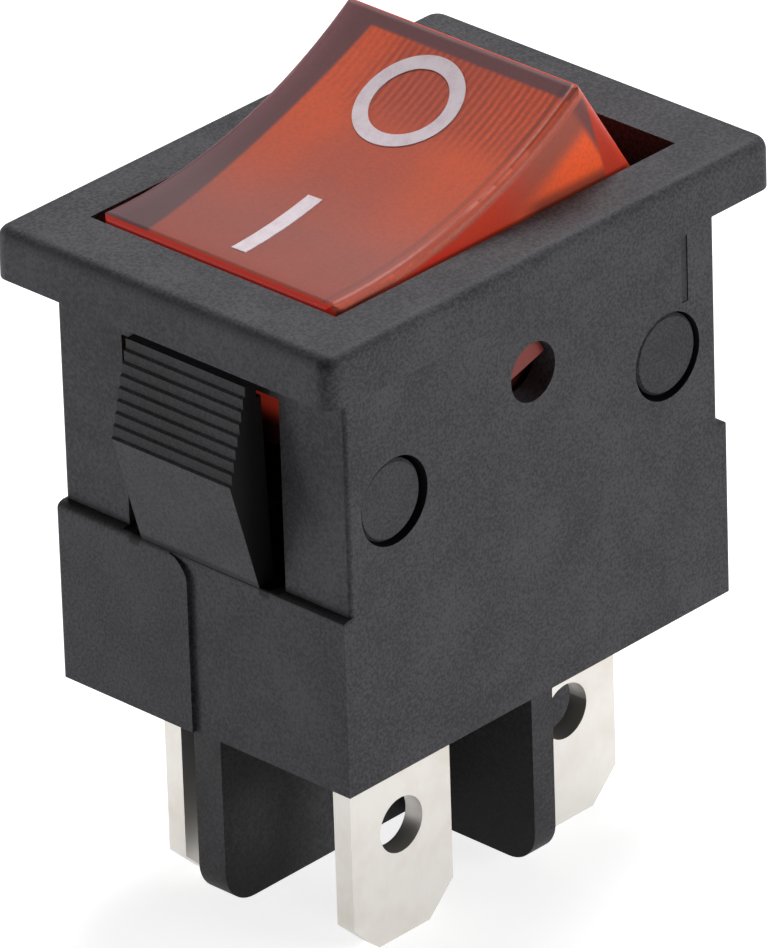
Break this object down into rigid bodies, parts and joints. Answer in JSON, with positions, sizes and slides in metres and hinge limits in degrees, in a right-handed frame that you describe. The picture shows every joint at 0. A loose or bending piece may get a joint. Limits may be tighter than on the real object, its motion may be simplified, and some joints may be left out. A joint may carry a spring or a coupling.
{
  "type": "panel rocker switch",
  "caption": "Illuminated snap-in panel rocker switch with a dished translucent red rocker, black bezel and body, and flat blade terminals beside a cross barrier.",
  "frame": {"origin": "centre of the bezel's seating rim, on the panel's face and under the middle of the rocker opening", "axes": "+Z out of the panel towards the user; +X along the switch towards the end marked O; +Y across it. At rest the I end is pressed"},
  "size_m": [0.021, 0.015, 0.0269],
  "materials": {
    "housing_black": "fine matte moulded nylon",
    "base_black": "fine matte moulded nylon",
    "rocker_red": "translucent red polycarbonate with printed white marks",
    "lamp_glass": "clear glass",
    "resistor_tan": "lacquered",
    "tinned_wire": "tinned",
    "spring_steel": "drawn wire",
    "plunger_steel": "polished",
    "bridge_copper": "stamped copper",
    "contact_silver": "silver",
    "terminal_plated": "plated, satin",
    "mark_white": "pad-printed ink"
  },
  "bodies": {
    "body": {"housing": "housing_black", "base": "base_black", "terminal_common_a": "terminal_plated", "terminal_common_b": "terminal_plated", "terminal_load_a": "terminal_plated", "terminal_load_b": "terminal_plated", "fixed_contact_a": "contact_silver", "fixed_contact_b": "contact_silver", "lamp_spring_a": "spring_steel", "lamp_spring_b": "spring_steel"},
    "rocker": {"rocker": "rocker_red", "lamp": "lamp_glass", "lamp_resistor": "resistor_tan", "lamp_lead_a": "tinned_wire", "lamp_lead_b": "tinned_wire", "lamp_link": "tinned_wire", "plunger_spring_a": "spring_steel", "plunger_spring_b": "spring_steel"},
    "plunger_a": {"plunger_a": "plunger_steel"},
    "plunger_b": {"plunger_b": "plunger_steel"},
    "bridge_a": {"bridge_a": "bridge_copper", "moving_contact_a": "contact_silver"},
    "bridge_b": {"bridge_b": "bridge_copper", "moving_contact_b": "contact_silver"}
  },
  "joints": [
    {"name": "rocker_hinge", "type": "hinge", "parent": "body", "child": "rocker", "pos_m": [0, 0, -0.00305], "axis": [0, 1, 0], "range_deg": [0, 32], "deforming": ["lamp_spring_a", "lamp_spring_b"]},
    {"name": "bridge_a_tilt", "type": "hinge", "parent": "body", "child": "bridge_a", "pos_m": [0, -0.0037, -0.01], "axis": [0, 1, 0], "range_deg": [-16, 0]},
    {"name": "bridge_b_tilt", "type": "hinge", "parent": "body", "child": "bridge_b", "pos_m": [0, 0.0037, -0.01], "axis": [0, 1, 0], "range_deg": [-16, 0]},
    {"name": "plunger_a_slide", "type": "slide", "parent": "rocker", "child": "plunger_a", "axis": [-0.2756, 0, 0.9613], "range_m": [0, 0.0006], "stiffness_N_per_m": 300, "springref_m": -0.001, "deforming": ["plunger_spring_a"]},
    {"name": "plunger_b_slide", "type": "slide", "parent": "rocker", "child": "plunger_b", "axis": [-0.2756, 0, 0.9613], "range_m": [0, 0.0006], "stiffness_N_per_m": 300, "springref_m": -0.001, "deforming": ["plunger_spring_b"]}
  ],
  "couplings": [
    {"joint": "bridge_a_tilt", "follows": "rocker_hinge", "ratio": -0.5},
    {"joint": "bridge_b_tilt", "follows": "rocker_hinge", "ratio": -0.5}
  ]
}
